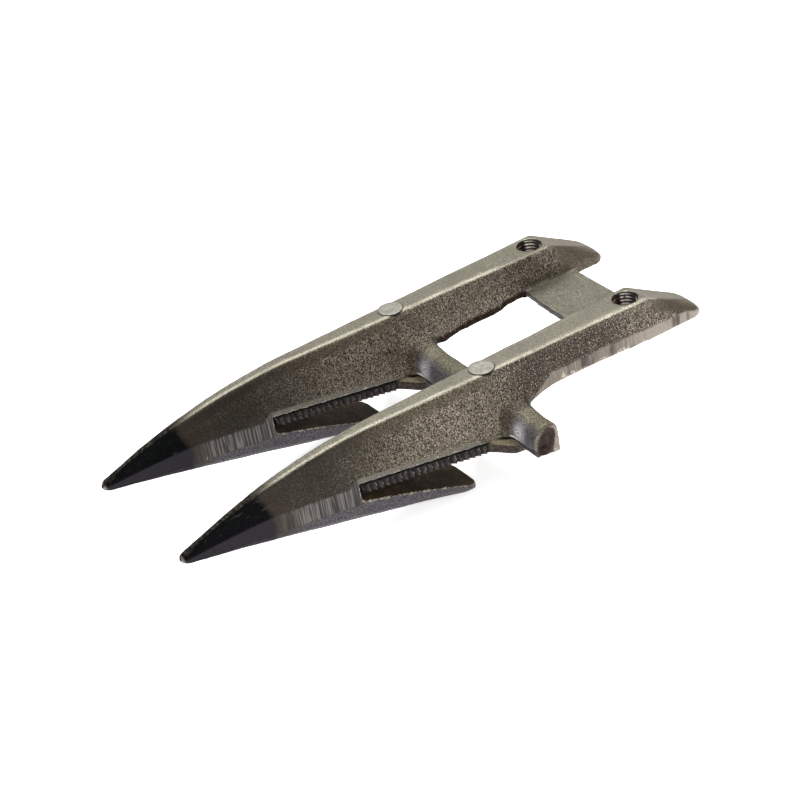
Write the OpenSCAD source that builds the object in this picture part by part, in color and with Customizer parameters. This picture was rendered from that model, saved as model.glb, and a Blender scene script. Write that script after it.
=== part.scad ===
// Double-finger mower knife guard: one forged body, two serrated ledger plates and their two rivets.
// X runs across the fingers, the tips point along -Y, and the seat that meets the cutter bar is z = 0.
// The origin lies on that seat, midway between the two bolt holes.

/* [Layout] */
// Distance between the two finger axes
finger_pitch = 76.2; // [66:0.1:90]
// From the bolt axis forward to the finger tips
finger_reach = 242; // [215:1:270]
// From the bolt axis back to the tail ends
tail_reach = 37; // [32:0.5:46]

/* [Rear arm] */
// Height of the arm from its seat to its flat crest
arm_h = 20; // [16:0.5:26]
// Width of the flat crest at the bolt holes
crest_w = 15.5; // [14:0.5:20]
// Width of the arm at its seat
seat_w = 22; // [20:0.5:28]
// Width of the arm's foot at its waist, ahead of the seat
waist_w = 20; // [17:0.5:24]
// Height of the trimmed strip along the foot of the arm
seat_strip_h = 6; // [3:0.5:7]
// Hollow under the arm between the cross bar and the seat
arm_relief = 1.2; // [0.5:0.1:3]
// Fall of the tail behind the bolt hole, in degrees
tail_fall = 27; // [15:1:28]
// Thickness of the tail at its very end
tail_end_h = 1.2; // [0.8:0.1:4]

/* [Bolt holes] */
// Drilled diameter of the two threaded holes
bolt_hole_d = 10.2; // [8:0.1:11]
// Diameter of the countersunk mouth of each hole
bolt_mouth_d = 12.6; // [11.6:0.1:14]

/* [Fingers] */
// Width of a finger where it meets the cross bar
shoulder_w = 27; // [24:0.5:32]
// Width of a finger at its tip
tip_w = 6.2; // [5:0.2:9]
// Radius that rounds the tip
tip_r = 3.5; // [2:0.5:5]
// Depth of the tip's underside below the seat
tip_drop = 2.8; // [1.5:0.1:4]
// Width of the flat crest over the front wall of the knife slot
crest_front_w = 4.4; // [3:0.2:8]
// Length of crest that falls towards the tip
crown_len = 103; // [80:1:120]
// Radius of that fall, seen from the side
crown_r = 272; // [262:2:400]
// Height of the trimmed parting strip on the nose
nose_strip_h = 8.8; // [5:0.2:11]
// Height of the trimmed strip above the ledger plate
edge_strip_h = 2.8; // [1.5:0.1:4]

/* [Knife slot and lip] */
// From the bolt axis forward to the front wall of the slot
slot_reach = 156.5; // [146:0.5:166]
// Height of the slot at its front wall, ledger plate included
slot_front_h = 9.3; // [8:0.1:11]
// Chamfer in the lower front corner of the slot
slot_corner = 1.5; // [0.5:0.1:2.5]
// Slope of the ledger plane against the seat, in degrees
ledger_tilt = 7.2; // [4:0.1:9]
// From the bolt axis forward to the rear end of the lip
lip_reach = 99; // [94:0.5:110]
// Slope of the lip's underside, in degrees
lip_tilt = 12.6; // [11:0.1:14]
// Thickness of the lip at its rear end, before its underside is rounded up
lip_end_t = 6.1; // [4.5:0.1:8]
// Length over which the underside rounds up to the lip's rear end
lip_round_l = 10; // [6:0.5:14]
// Upward bow of the lip's upper face
lip_bow = 1; // [0:0.1:2]
// Radius of the lip's rear corners
lip_corner_r = 5.5; // [3:0.5:7]

/* [Cross bar and ears] */
// From the bolt axis forward to the rear face of the cross bar
bar_reach = 69.6; // [64:0.2:74]
// Width of the cross bar, front to back
bar_w = 12.4; // [10:0.2:14]
// Depth of the bar's front lower edge below the seat
bar_drop = 11; // [9:0.5:14]
// Height of the bar's top above the seat
bar_rise = 2.2; // [0.5:0.1:4]
// Overall width across the two ears
ear_span = 151; // [146:0.5:152]
// Radius that rounds off the top of an ear's end
ear_end_r = 3; // [1:0.5:5]
// Radius of the scoop in the end of an ear
ear_scoop_r = 5; // [3:0.5:8]
// Depth of that scoop
ear_scoop_depth = 1.5; // [0.5:0.1:2.5]
// From the bar's front edge back to the middle of the scoop
ear_scoop_inset = 2.8; // [2:0.1:6]
// Lean of the scoop to the rear, in degrees
ear_scoop_lean = 17; // [0:1:25]
// Fillet in plan where the bar's front leaves a finger
bar_fillet = 8; // [4:0.5:10]
// Height that the finger's flank swells up above the bar's top
ear_swell = 2.4; // [1:0.2:6]

/* [Web] */
// Thickness of the web between the fingers
web_t = 3; // [2.4:0.2:5]
// Height of the web's underside above the seat
web_lift = 0.4; // [0.4:0.1:1]
// From the bolt axis forward to the web's front edge at a finger
web_front = 11.5; // [8:0.5:20]
// From the bolt axis back to the web's rear edge
web_rear = 17; // [10:0.5:24]
// Forward bow of the web's front edge
web_bow = 2.6; // [1:0.2:5]

/* [Ledger plates] */
// Thickness of a ledger plate
ledger_t = 5; // [4:0.1:6]
// Distance between two teeth along the edge
tooth_pitch = 3.1; // [2.2:0.1:4.5]
// Depth of the teeth
tooth_depth = 1.3; // [0.4:0.1:1.8]
// Overhang of the teeth past the finger's side
tooth_overhang = 0.9; // [0.2:0.1:1.2]
// Relief under the body that leaves a dark line above the teeth
ledger_relief = 0.8; // [0.4:0.1:1.2]
// Width of the smooth rear end of a plate
ledger_rear_w = 41; // [34:0.5:44]
// Gap between the front wall of the slot and a plate
ledger_front_gap = 0.3; // [0.2:0.1:1.5]
// Gap between the bar's rear face and a plate's rear end
ledger_rear_inset = 1.5; // [0.5:0.1:3]

/* [Rivets] */
// From the bolt axis forward to the rivet axis
rivet_reach = 81.6; // [79:0.2:88]
// Diameter of the rivet shank
rivet_d = 8; // [6:0.2:9]
// Diameter of the flat rivet head
rivet_head_d = 12.4; // [10.5:0.1:14]
// Height of the rivet head above the crest
rivet_head_h = 0.7; // [0.4:0.1:2]
// Diameter of the sunk rivet foot, flush with the plate
rivet_foot_d = 12; // [10:0.2:14]
// Clearance round the rivet in its holes
rivet_clear = 0.1; // [0.05:0.05:0.3]

/* [Hidden] */
$fn = 48;
past = 1; // overshoot of every cutter
over = 60; // reach of cutters that pass right through
graze = 0.1; // keeps a rounding cutter from only touching the faces it joins

// Places along the finger
tip_y = -finger_reach;
slot_y = -slot_reach;
lip_end_y = -lip_reach;
bar_rear_y = -bar_reach;
bar_front_y = bar_rear_y - bar_w;
bar_front_r = 0.55 * bar_w;
bar_rear_r = 0.2 * bar_w;
root_len = bar_fillet + 2; // reach of the swelling along the ear
root_sink = 3; // depth of its start inside the finger
root_slab = 0.5; // thickness of its two end slices
crown_y = tip_y + crown_len;
rivet_y = -rivet_reach;
boss_end_y = bolt_mouth_d / 2;
tail_corner_r = 0.3 * seat_w;
tail_bend_y = tail_reach - tail_corner_r;
arm_blend = 18; // length over which the shoulder narrows into the waist
step_draft = 1.2; // lean of the bar's rear face under a finger
tail_crest_share = 0.5; // width of the crest at the tail end, as a share of that at the bolt hole
strip_step = 4; // length over which the nose strip rises to the ledger strip
blade_y = slot_y - 0.8; // where it has risen, just ahead of the slot

// Shape of the sections
crest_round = 1.8; // rounding of the crest's edges
crest_round_share = 0.12; // most of a flank's height that the rounding may take
flank_out = 0.69; // how far out a flank stands half way down, between crest and foot
nose_parting = 0.65; // place of the parting strip, down from the crest
nose_strip_share = 0.17; // most of the nose's height that half the strip may take
tail_strip_share = 0.6; // most of the tail's height that the seat strip may take
keel_share = 0.45; // flat of a nose's underside, as a share of its width
bilge_x_share = 0.82; // corner between that flat and the strip, across
bilge_z_share = 0.62; // and the same corner, down from the strip
lip_side_h = 1.4; // upright side of the lip
lip_end_share = 0.85; // part of the lip's thickness that its end rounding takes
lip_edge = 0.3; // least height of the lip's side above its underside
tip_least_h = 2; // least height of a finger at its tip, before the tip is rounded

function mix(a, b, t) = a + (b - a) * t;
function ramp(v, from, to) = max(0, min(1, (v - from) / (to - from)));

// Heights that every section shares
function ledger_z(y) = -bar_drop + tan(ledger_tilt) * (bar_front_y - y);
function lip_z(y) = -tip_drop - tan(lip_tilt) * (y - tip_y);
slot_floor_z = ledger_z(slot_y) - slot_front_h;
lip_end_z = lip_z(lip_end_y) + lip_end_t;
function lip_top_z(y) = mix(slot_floor_z, lip_end_z, (y - slot_y) / (lip_end_y - slot_y));
lip_end_r = lip_end_share * lip_end_t; // height of the rounding under the lip's rear end
lip_round_y = lip_end_y - lip_round_l; // where that rounding starts
function lip_lift(y) = lip_end_r * (1 - sqrt(1 - pow(ramp(y, lip_round_y, lip_end_y), 2)));
function tail_z(y) = arm_h - tan(tail_fall) * max(0, y - boss_end_y);
function crown_z(y) = max(lip_z(y) + tip_least_h,
    arm_h - crown_r + sqrt(pow(crown_r, 2) - pow(max(0, crown_y - y), 2)));
function end_round(y) = sqrt(max(0, 1 - pow(ramp(y, tail_bend_y, tail_reach), 2)));
function crest_z(y) = y < boss_end_y ? crown_z(y)
    : mix(tail_end_h, tail_z(y), end_round(y));

// Half widths
function finger_x(y) = mix(shoulder_w, tip_w, (bar_front_y - y) / (bar_front_y - tip_y)) / 2;
function arm_x(y) = y < -web_front
    ? mix(shoulder_w, waist_w, ramp(y, bar_rear_y, bar_rear_y + arm_blend)) / 2
    : mix(waist_w, seat_w, ramp(y, -web_front, boss_end_y)) / 2 - tail_corner_r * (1 - end_round(y));
function side_x(y) = y < bar_front_y ? finger_x(y) : arm_x(y);
function crest_x(y) = y > boss_end_y
    ? mix(crest_w, tail_crest_share * crest_w, ramp(y, boss_end_y, tail_reach)) / 2
    : y > slot_y ? mix(crest_front_w, crest_w, ramp(y, slot_y, 0)) / 2
    : mix(1, crest_front_w, ramp(y, tip_y, slot_y)) / 2;

// Right-hand half of the crest and flank, from the crest down to the trimmed strip
function flank(y, foot_x, foot_z) =
    let (x = crest_x(y), z = crest_z(y), r = min(crest_round, crest_round_share * (z - foot_z)))
    concat([for (a = [0, 30, 70]) [x + r * sin(a), z - r * (1 - cos(a))]],
        [[mix(x, foot_x, flank_out), mix(z, foot_z, 0.5)], [foot_x, foot_z]]);

// A closed ring from its right-hand half
function ring(half, y) = concat(
    [for (p = half) [p[0], y, p[1]]],
    [for (i = [len(half) - 1 : -1 : 0]) [-half[i][0], y, half[i][1]]]);

// Section of the finger from the tip to the rear end of the lip, slot not yet cut
function front_half(y) =
    let (
        top = crest_z(y), low = lip_z(y) + lip_lift(y), x = finger_x(y),
        mid = mix(top, low, nose_parting),
        strip = min(nose_strip_h / 2, nose_strip_share * (top - low)),
        nose = y < blade_y,
        strip_top = nose ? mid + strip : ledger_z(y) + edge_strip_h,
        strip_low = nose ? mid - strip : max(lip_top_z(y) - lip_side_h, low + lip_edge),
        small = sqrt(1 - pow(1 - min(1, (y - tip_y) / tip_r), 2)),
        half = concat(flank(y, x, strip_top),
            [[x, strip_low], [bilge_x_share * x, mix(strip_low, low, bilge_z_share)], [keel_share * x, low]]))
    [for (p = half) [p[0] * small, mid + (p[1] - mid) * small]];

// Section of the finger behind the lip, the arm and the tail
function foot_z(y) = y <= bar_rear_y ? ledger_z(y)
    : arm_relief * sin(180 * ramp(y, bar_rear_y, -web_front));
function strip_z(y) = y <= bar_front_y ? ledger_z(y) + edge_strip_h
    : mix(edge_strip_h - bar_drop, min(seat_strip_h + foot_z(y), tail_strip_share * crest_z(y)),
        ramp(y, bar_front_y, bar_rear_y + arm_blend));
function rear_half(y) = concat(flank(y, side_x(y), strip_z(y)), [[side_x(y), foot_z(y)]]);

nose_steps = 9;
blade_steps = 5;
front_ys = concat(
    [for (t = [0.06, 0.25, 0.6, 1]) tip_y + t * tip_r],
    [for (i = [1 : nose_steps]) mix(tip_y + tip_r, blade_y - strip_step, i / nose_steps)],
    [for (i = [0 : blade_steps]) mix(blade_y, lip_round_y, i / blade_steps)],
    [for (t = [0.45, 0.75, 0.93, 1]) mix(lip_round_y, lip_end_y, t)]);
rear_ys = concat(
    [lip_end_y, mix(lip_end_y, bar_front_y, 0.5), bar_front_y, bar_rear_y, bar_rear_y + step_draft],
    [bar_rear_y + arm_blend / 2, bar_rear_y + arm_blend, -web_front - arm_blend, -web_front, 0],
    [for (t = [0, 0.25, 0.5, 0.75, 1]) mix(boss_end_y, tail_bend_y, t)],
    [for (a = [25, 50, 70, 85, 90]) tail_bend_y + tail_corner_r * sin(a)]);

// Skin over a row of closed rings, with flat ends
module loft(rings) {
    n = len(rings[0]);
    last = (len(rings) - 1) * n;
    sides = [for (k = [0 : len(rings) - 2], i = [0 : n - 1])
        let (a = k * n + i, b = k * n + (i + 1) % n)
        each [[a, a + n, b], [b, a + n, b + n]]];
    ends = [[for (i = [0 : n - 1]) i], [for (i = [n - 1 : -1 : 0]) last + i]];
    polyhedron([for (r = rings) each r], concat(sides, ends));
}

// Lays a shape out on the ledger plane: local z = 0 is that plane, local y = 0 the bar's front edge
module on_ledger_plane() {
    translate([0, bar_front_y, -bar_drop]) rotate([-ledger_tilt, 0, 0]) children();
}

// Extrudes a profile drawn in (y, z) from one x to another
module across(x0, x1) {
    translate([x0, 0, 0]) rotate([90, 0, 90]) linear_extrude(x1 - x0) children();
}

// Side view of the knife slot, open to the rear, over a bowed lip
module slot_profile() {
    rear = lip_end_y + over;
    r = slot_corner;
    bow_steps = 8;
    polygon(concat(
        [[slot_y, slot_floor_z + r], [slot_y, ledger_z(slot_y)]],
        [[rear, ledger_z(rear)], [rear, lip_top_z(rear)]],
        [for (i = [bow_steps : -1 : 0])
            let (y = mix(slot_y + r, lip_end_y, i / bow_steps))
            [y, lip_top_z(y) + lip_bow * sin(180 * i / bow_steps)]]));
}

// Corner cutter for the rounded rear end of the lip, on the +X side
module lip_corner() {
    r = lip_corner_r;
    x = finger_x(lip_end_y);
    translate([x - r, lip_end_y - r, lip_end_z - lip_end_t - past]) linear_extrude(2 * lip_end_t)
        difference() {
            square(r + past);
            circle(r);
        }
}

module finger() {
    difference() {
        loft([for (y = front_ys) ring(front_half(y), y)]);
        across(-over, over) slot_profile();
        lip_corner();
        mirror([1, 0, 0]) lip_corner();
    }
    loft([for (y = rear_ys) ring(rear_half(y), y)]);
}

// Side view of the cross bar: flat on the ledger plane, rounded more in front than behind
module bar_profile() {
    turn = [0 : 15 : 90];
    polygon(concat(
        [[bar_front_y, ledger_z(bar_front_y)], [bar_rear_y, ledger_z(bar_rear_y)]],
        [for (a = turn) [bar_rear_y - bar_rear_r * (1 - cos(a)), bar_rise - bar_rear_r * (1 - sin(a))]],
        [for (a = turn) [bar_front_y + bar_front_r * (1 - sin(a)), bar_rise - bar_front_r * (1 - cos(a))]]));
}

// Swelling of a finger's flank over the bar, on the +X side: it dips into the bar at its outer end
module ear_root() {
    x = shoulder_w / 2;
    front = bar_front_y - bar_fillet;
    rear = bar_rear_y - past;
    quarter = bar_w / 4;
    low = edge_strip_h - bar_drop;
    hull() {
        across(x - root_sink, x - root_sink + root_slab) polygon([
            [front, ledger_z(front) + edge_strip_h], [bar_front_y - bar_fillet / 2, 0],
            [bar_front_y + quarter, bar_rise + ear_swell], [bar_rear_y - quarter, bar_rise + ear_swell],
            [rear, bar_rise], [rear, low]]);
        across(x + root_len, x + root_len + root_slab) polygon([
            [bar_front_y + past, low], [bar_front_y + past, bar_rise - bar_front_r],
            [bar_front_y + bar_front_r, bar_rise - past], [bar_rear_y - quarter, bar_rise - past],
            [rear - past, low]]);
    }
}

// Plan fillet between the bar's front and a finger, on the +X side, as high as the trimmed strip
module ear_fillet() {
    x = shoulder_w / 2;
    r = bar_fillet;
    on_ledger_plane() linear_extrude(edge_strip_h) difference() {
        translate([x - past, -r]) square([r + past, r + past]);
        translate([x + r, -r]) circle(r);
    }
}

// Cutter that rounds off the top of an ear's end, on the +X side
module ear_end() {
    r = ear_end_r;
    translate([ear_span / 2 - r + graze, bar_rear_y + past, bar_rise - r + graze]) rotate([90, 0, 0])
        linear_extrude(bar_w + 2 * past) difference() {
            square(r + past);
            circle(r);
        }
}

// Cutter for the scooped end of an ear, on the +X side
module ear_scoop() {
    translate([ear_span / 2 + ear_scoop_r - ear_scoop_depth, bar_front_y + ear_scoop_inset, -bar_drop])
        rotate([-ear_scoop_lean, 0, 0]) translate([0, 0, -over / 2]) cylinder(r = ear_scoop_r, h = over);
}

// Web between the fingers, with a bowed front edge
module web() {
    half = finger_pitch / 2 - seat_w / 4;
    bow_r = (pow(half, 2) + pow(web_bow, 2)) / (2 * web_bow);
    translate([0, 0, web_lift]) linear_extrude(web_t) {
        translate([-half, -web_front]) square([2 * half, web_front + web_rear]);
        intersection() {
            translate([0, bow_r - web_front - web_bow]) circle(bow_r, $fn = 180);
            translate([-half, -web_front - web_bow]) square([2 * half, web_bow + past]);
        }
    }
}

module bolt_bore() {
    rim = (bolt_mouth_d - bolt_hole_d) / 2;
    translate([0, 0, -past]) cylinder(d = bolt_hole_d, h = arm_h + 2 * past);
    translate([0, 0, arm_h - rim]) cylinder(d1 = bolt_hole_d, d2 = bolt_mouth_d + 2 * past, h = rim + past);
}

module at_fingers() {
    for (side = [-1, 1]) translate([side * finger_pitch / 2, 0, 0]) children();
}

module guard_body() {
    color("#6f6a60") difference() {
        union() {
            at_fingers() finger();
            difference() {
                across(-ear_span / 2, ear_span / 2) bar_profile();
                for (side = [0, 1]) mirror([side, 0, 0]) {
                    ear_end();
                    ear_scoop();
                }
            }
            at_fingers() for (side = [0, 1]) mirror([side, 0, 0]) {
                ear_root();
                ear_fillet();
            }
            web();
        }
        at_fingers() bolt_bore();
        at_fingers() translate([0, rivet_y, -over]) cylinder(d = rivet_d + 2 * rivet_clear, h = 2 * over);
    }
}

// Half outline of a ledger plate in the ledger plane, toothed in front and smooth behind
plate_front = (slot_y + ledger_front_gap - bar_front_y) / cos(ledger_tilt) + ledger_t * tan(ledger_tilt);
plate_rear = (bar_w - ledger_rear_inset) / cos(ledger_tilt);
plate_nose_share = 0.55; // width of a plate's front end, as a share of the finger's
tooth_rise = 0.8; // share of a tooth's pitch that its long slope takes
tooth_end = -bar_fillet;
flare_end = past; // the plate is at its full width just behind the bar's front edge
flare_steps = 8;
tooth_n = floor((tooth_end - plate_front - tooth_pitch) / tooth_pitch);
tooth_start = tooth_end - tooth_n * tooth_pitch;
function plate_x(v) = finger_x(bar_front_y + v * cos(ledger_tilt)) + tooth_overhang;
function plate_half() = concat(
    [[plate_nose_share * plate_x(plate_front), plate_front],
     [plate_x(tooth_start) - tooth_depth, tooth_start - tooth_pitch / 2]],
    [for (i = [0 : tooth_n - 1], s = [0, 1])
        let (v = tooth_start + (i + tooth_rise * s) * tooth_pitch) [plate_x(v) - tooth_depth * (1 - s), v]],
    [for (i = [0 : flare_steps])
        let (t = i / flare_steps)
        [mix(plate_x(tooth_end), ledger_rear_w / 2, t * t * (3 - 2 * t)), mix(tooth_end, flare_end, t)]],
    [[ledger_rear_w / 2, plate_rear]]);

module plate_outline() {
    half = plate_half();
    polygon(concat(half, [for (i = [len(half) - 1 : -1 : 0]) [-half[i][0], half[i][1]]]));
}

module relieved_outline() {
    inset = tooth_depth + tooth_overhang;
    front = plate_x(plate_front) - inset;
    rear = plate_x(plate_rear) - inset;
    polygon([[front / 2, plate_front], [front, plate_front + tooth_pitch], [rear, plate_rear],
             [-rear, plate_rear], [-front, plate_front + tooth_pitch], [-front / 2, plate_front]]);
}

module rivet_shape(grow) {
    foot_z = ledger_z(rivet_y) - ledger_t;
    sink = (rivet_foot_d - rivet_d) / 2;
    translate([0, rivet_y, foot_z - past]) cylinder(d = rivet_d + 2 * grow, h = arm_h - foot_z + past);
    translate([0, rivet_y, foot_z - past])
        cylinder(d1 = rivet_foot_d + 2 * (grow + past), d2 = rivet_d + 2 * grow, h = sink + past);
}

// Everything under the lower face of the ledger plates
module below_plates() {
    on_ledger_plane() translate([-over, -over, -ledger_t - over]) cube([2 * over, 2 * over, over]);
}

module ledger_plate() {
    color("#4a4a4c") difference() {
        on_ledger_plane() {
            translate([0, 0, -ledger_t]) linear_extrude(ledger_t - ledger_relief) plate_outline();
            translate([0, 0, -ledger_relief]) linear_extrude(ledger_relief) relieved_outline();
        }
        rivet_shape(rivet_clear);
    }
}

module left_ledger_plate() {
    translate([-finger_pitch / 2, 0, 0]) ledger_plate();
}

module right_ledger_plate() {
    translate([finger_pitch / 2, 0, 0]) ledger_plate();
}

module ledger_rivets() {
    color("#a8a7a2") at_fingers() {
        difference() {
            rivet_shape(0);
            below_plates();
        }
        translate([0, rivet_y, arm_h]) cylinder(d = rivet_head_d, h = rivet_head_h);
    }
}

guard_body();
left_ledger_plate();
right_ledger_plate();
ledger_rivets();
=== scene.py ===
import math

import bpy
import numpy as np
from mathutils import Matrix, Vector


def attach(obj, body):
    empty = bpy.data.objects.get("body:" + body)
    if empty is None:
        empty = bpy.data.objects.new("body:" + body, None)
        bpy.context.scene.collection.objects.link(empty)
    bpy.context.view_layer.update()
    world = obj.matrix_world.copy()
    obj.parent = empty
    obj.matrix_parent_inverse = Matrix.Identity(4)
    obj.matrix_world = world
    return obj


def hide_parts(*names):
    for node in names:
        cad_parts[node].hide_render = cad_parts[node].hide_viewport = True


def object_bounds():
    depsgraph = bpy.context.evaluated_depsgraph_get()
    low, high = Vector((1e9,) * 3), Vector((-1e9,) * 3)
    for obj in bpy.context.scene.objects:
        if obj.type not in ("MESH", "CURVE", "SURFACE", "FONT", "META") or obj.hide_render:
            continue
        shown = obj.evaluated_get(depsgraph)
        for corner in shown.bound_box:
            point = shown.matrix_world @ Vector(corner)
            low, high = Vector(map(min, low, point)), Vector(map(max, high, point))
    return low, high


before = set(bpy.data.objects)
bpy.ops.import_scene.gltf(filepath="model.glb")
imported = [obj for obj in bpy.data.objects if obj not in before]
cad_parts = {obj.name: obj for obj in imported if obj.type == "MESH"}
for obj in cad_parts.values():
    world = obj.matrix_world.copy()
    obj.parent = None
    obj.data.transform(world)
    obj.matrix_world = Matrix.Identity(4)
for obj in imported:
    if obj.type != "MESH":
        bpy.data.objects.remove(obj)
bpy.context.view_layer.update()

# All sizes are millimetres in the part's own frame. Meshes are scaled to metres when they are made, and the shaders
# scale their coordinates back. Only the stage, that is the floor, lights and camera, is in metres.
MM = 0.001
STEP = 0.6          # spacing of the grid that the forging is meshed on
MOST_TRIS = 196000  # limit for the forging's mesh
GRID_X, GRID_LOW, GRID_TOP = 78.0, -37.2, 23.0
FINGER_SPAN, FINGER_NEAR = 42.0, 21.0  # a finger's field, and where it goes on as plain distance

PITCH = 76.2
AXIS_X = PITCH / 2
TIP_Y, SLOT_Y, LIP_END_Y, TAIL_Y = -242.0, -156.5, -99.0, 37.0
BAR_REAR_Y, BAR_FRONT_Y, BAR_MID_Y = -69.6, -82.0, -76.0
BAR_FRONT_R, BAR_REAR_R, BAR_FILLET, WEB_FILLET = 6.8, 2.5, 8.0, 2.4
BAR_DROP, BAR_TOP_Z, EAR_X, EAR_END_R = 11.0, 2.2, 75.5, 3.0
ARM_H, CREST_W, SEAT_W, WAIST_W = 20.0, 15.5, 22.0, 20.0
SHOULDER_W, TIP_W, TIP_R, TIP_DROP, CREST_FRONT_W = 27.0, 6.2, 3.5, 2.8, 4.4
CROWN_Y, CROWN_R = TIP_Y + 103.0, 272.0
NOSE_STRIP_H, EDGE_STRIP_H, SEAT_STRIP_H, STRIP_OUT, STRIP_BEVEL = 8.8, 2.8, 6.0, 0.35, 0.1
SLOT_FRONT_H, LIP_END_T, LIP_BOW, LIP_CORNER_R = 9.3, 6.1, 1.0, 5.5
ARM_RELIEF, TAIL_END_H, ARM_BLEND = 1.2, 1.2, 18.0
BOSS_END_Y, TAIL_CORNER_R = 6.3, 6.6
TAIL_BEND_Y = TAIL_Y - TAIL_CORNER_R
WEB_Z0, WEB_Z1, WEB_FRONT, WEB_REAR, WEB_BOW = 0.4, 3.4, 11.5, 17.0, 2.6
LEDGER_TILT, LIP_TILT, TAIL_TILT = math.radians(7.2), math.radians(12.6), math.radians(27.0)
TAN_LEDGER, TAN_LIP, TAN_TAIL = math.tan(LEDGER_TILT), math.tan(LIP_TILT), math.tan(TAIL_TILT)
COS_LEDGER, SIN_LEDGER = math.cos(LEDGER_TILT), math.sin(LEDGER_TILT)
LEDGER_T, LEDGER_RELIEF, TOOTH_PITCH, TOOTH_DEPTH, TOOTH_OUT = 5.0, 0.8, 3.1, 1.3, 0.9
TOOTH_LEAN, TOOTH_BACK, TEETH_END, TEETH = 0.37, 0.2, -9.0, 60
PLATE_REAR_W, PLATE_FLARE = 41.0, 0.8
RIVET_Y, SHANK_R = -81.6, 3.9
HOLE_R = 6.1
THREAD_PITCH, THREAD_CREST_R, THREAD_DEPTH, THREAD_END_R, THREAD_WALL_R = 1.75, 5.15, 0.85, 6.05, 6.35
BLADE_Y = SLOT_Y - 0.8
EAR_LIFT, EAR_END_LIFT = 2.2, 0.1
CREASE_H, CREASE_END, OVERHANG = 2.3, 1.2, 0.7
ARM_HANG, LEFT_EAR_DROP = 3.0, 2.2  # how the left side differs from the right one
SCOOP_X, SCOOP_Y, SCOOP_R, SCOOP_LEAN = EAR_X + 3.5, -78.6, 5.0, 0.31
SCOOP_TOP, SCOOP_FOOT, SCOOP_CLOSE = -2.5, -8.2, 0.5


def mix(a, b, t):
    return a + (b - a) * t


def ramp(v, a, b):
    return np.clip((v - a) / (b - a), 0.0, 1.0)


def smooth(v, a, b):
    t = ramp(v, a, b)
    return t * t * (3 - 2 * t)


def ledger_z(y):
    return -BAR_DROP + TAN_LEDGER * (BAR_FRONT_Y - y)


def lip_z(y):
    return -TIP_DROP - TAN_LIP * (y - TIP_Y)


SLOT_FLOOR_Z = ledger_z(SLOT_Y) - SLOT_FRONT_H
LIP_END_Z = lip_z(LIP_END_Y) + LIP_END_T
LIP_END_R = 0.85 * LIP_END_T
LIP_ROUND_Y = LIP_END_Y - 2 * LIP_END_R


def lip_top_z(y):
    t = (y - SLOT_Y) / (LIP_END_Y - SLOT_Y)
    return mix(SLOT_FLOOR_Z, LIP_END_Z, t) + LIP_BOW * np.sin(np.pi * np.clip(t, 0, 1))


def end_round(y):
    return np.sqrt(np.maximum(0, 1 - ramp(y, TAIL_BEND_Y, TAIL_Y) ** 2))


def crest_z(y):
    crown = ARM_H - CROWN_R + np.sqrt(CROWN_R**2 - np.maximum(0, CROWN_Y - y) ** 2)
    tail = mix(TAIL_END_H, ARM_H - TAN_TAIL * np.maximum(0, y - BOSS_END_Y), end_round(y))
    return np.where(y < BOSS_END_Y, crown, tail)


def finger_x(y):
    return mix(SHOULDER_W, TIP_W, (BAR_FRONT_Y - y) / (BAR_FRONT_Y - TIP_Y)) / 2


def side_x(y):
    waist = mix(SHOULDER_W, WAIST_W, ramp(y, BAR_REAR_Y, BAR_REAR_Y + ARM_BLEND)) / 2
    seat = mix(WAIST_W, SEAT_W, ramp(y, -WEB_FRONT, BOSS_END_Y)) / 2
    arm = np.where(y < -WEB_FRONT, waist, seat - TAIL_CORNER_R * (1 - end_round(y)))
    return np.where(y < BAR_FRONT_Y, finger_x(y), arm)


def crest_x(y):
    tail = mix(CREST_W, 0.5 * CREST_W, ramp(y, BOSS_END_Y, TAIL_Y))
    arm = mix(CREST_FRONT_W, CREST_W, ramp(y, SLOT_Y, 0))
    nose = mix(1, CREST_FRONT_W, ramp(y, TIP_Y, SLOT_Y))
    return np.where(y > BOSS_END_Y, tail, np.where(y > SLOT_Y, arm, nose)) / 2


def nose_heights(y):
    """Bottom, parting height and strip limits of the finger's section ahead of the lip's end."""
    top = crest_z(y)
    lift = LIP_END_R * (1 - np.sqrt(1 - ramp(y, LIP_ROUND_Y, LIP_END_Y) ** 2))
    low = lip_z(y) + lift
    mid = mix(top, low, 0.65)
    strip = np.minimum(NOSE_STRIP_H / 2, 0.17 * (top - low))
    blade = ramp(y, BLADE_Y - 4, BLADE_Y)
    strip_top = mix(mid + strip, ledger_z(y) + EDGE_STRIP_H, blade)
    lip_edge = mix(SLOT_FLOOR_Z, LIP_END_Z, (y - SLOT_Y) / (LIP_END_Y - SLOT_Y))
    strip_low = mix(mid - strip, lip_edge - 1.4, blade)
    strip_low = np.maximum(strip_low, low + 0.1)
    return low, mid, strip_top, strip_low


def foot_z(y):
    arm = ARM_RELIEF * np.sin(np.pi * ramp(y, BAR_REAR_Y, -WEB_FRONT))
    return np.where(y <= BAR_REAR_Y, ledger_z(y), arm)


def arm_strip_z(y):
    arm = np.minimum(SEAT_STRIP_H + foot_z(y), 0.6 * crest_z(y))
    blend = mix(EDGE_STRIP_H - BAR_DROP, arm, ramp(y, BAR_FRONT_Y, BAR_REAR_Y + ARM_BLEND))
    return np.where(y <= BAR_FRONT_Y, ledger_z(y) + EDGE_STRIP_H, blend)


def flank(y, foot_x, foot):
    """Right-hand half of a section's crest and flank, as a list of (x, z)."""
    x, z = crest_x(y), crest_z(y)
    r = np.minimum(1.8, 0.12 * (z - foot))
    points = [(0 * x, z)]
    for a in (0, 20, 45, 70):
        s, c = math.sin(math.radians(a)), math.cos(math.radians(a))
        points.append((x + r * s, z - r * (1 - c)))
    for t, out in ((0.25, 0.41), (0.5, 0.69), (0.75, 0.87)):
        points.append((mix(x, foot_x, out), mix(z, foot, t)))
    return points + [(foot_x, foot)]


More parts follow.
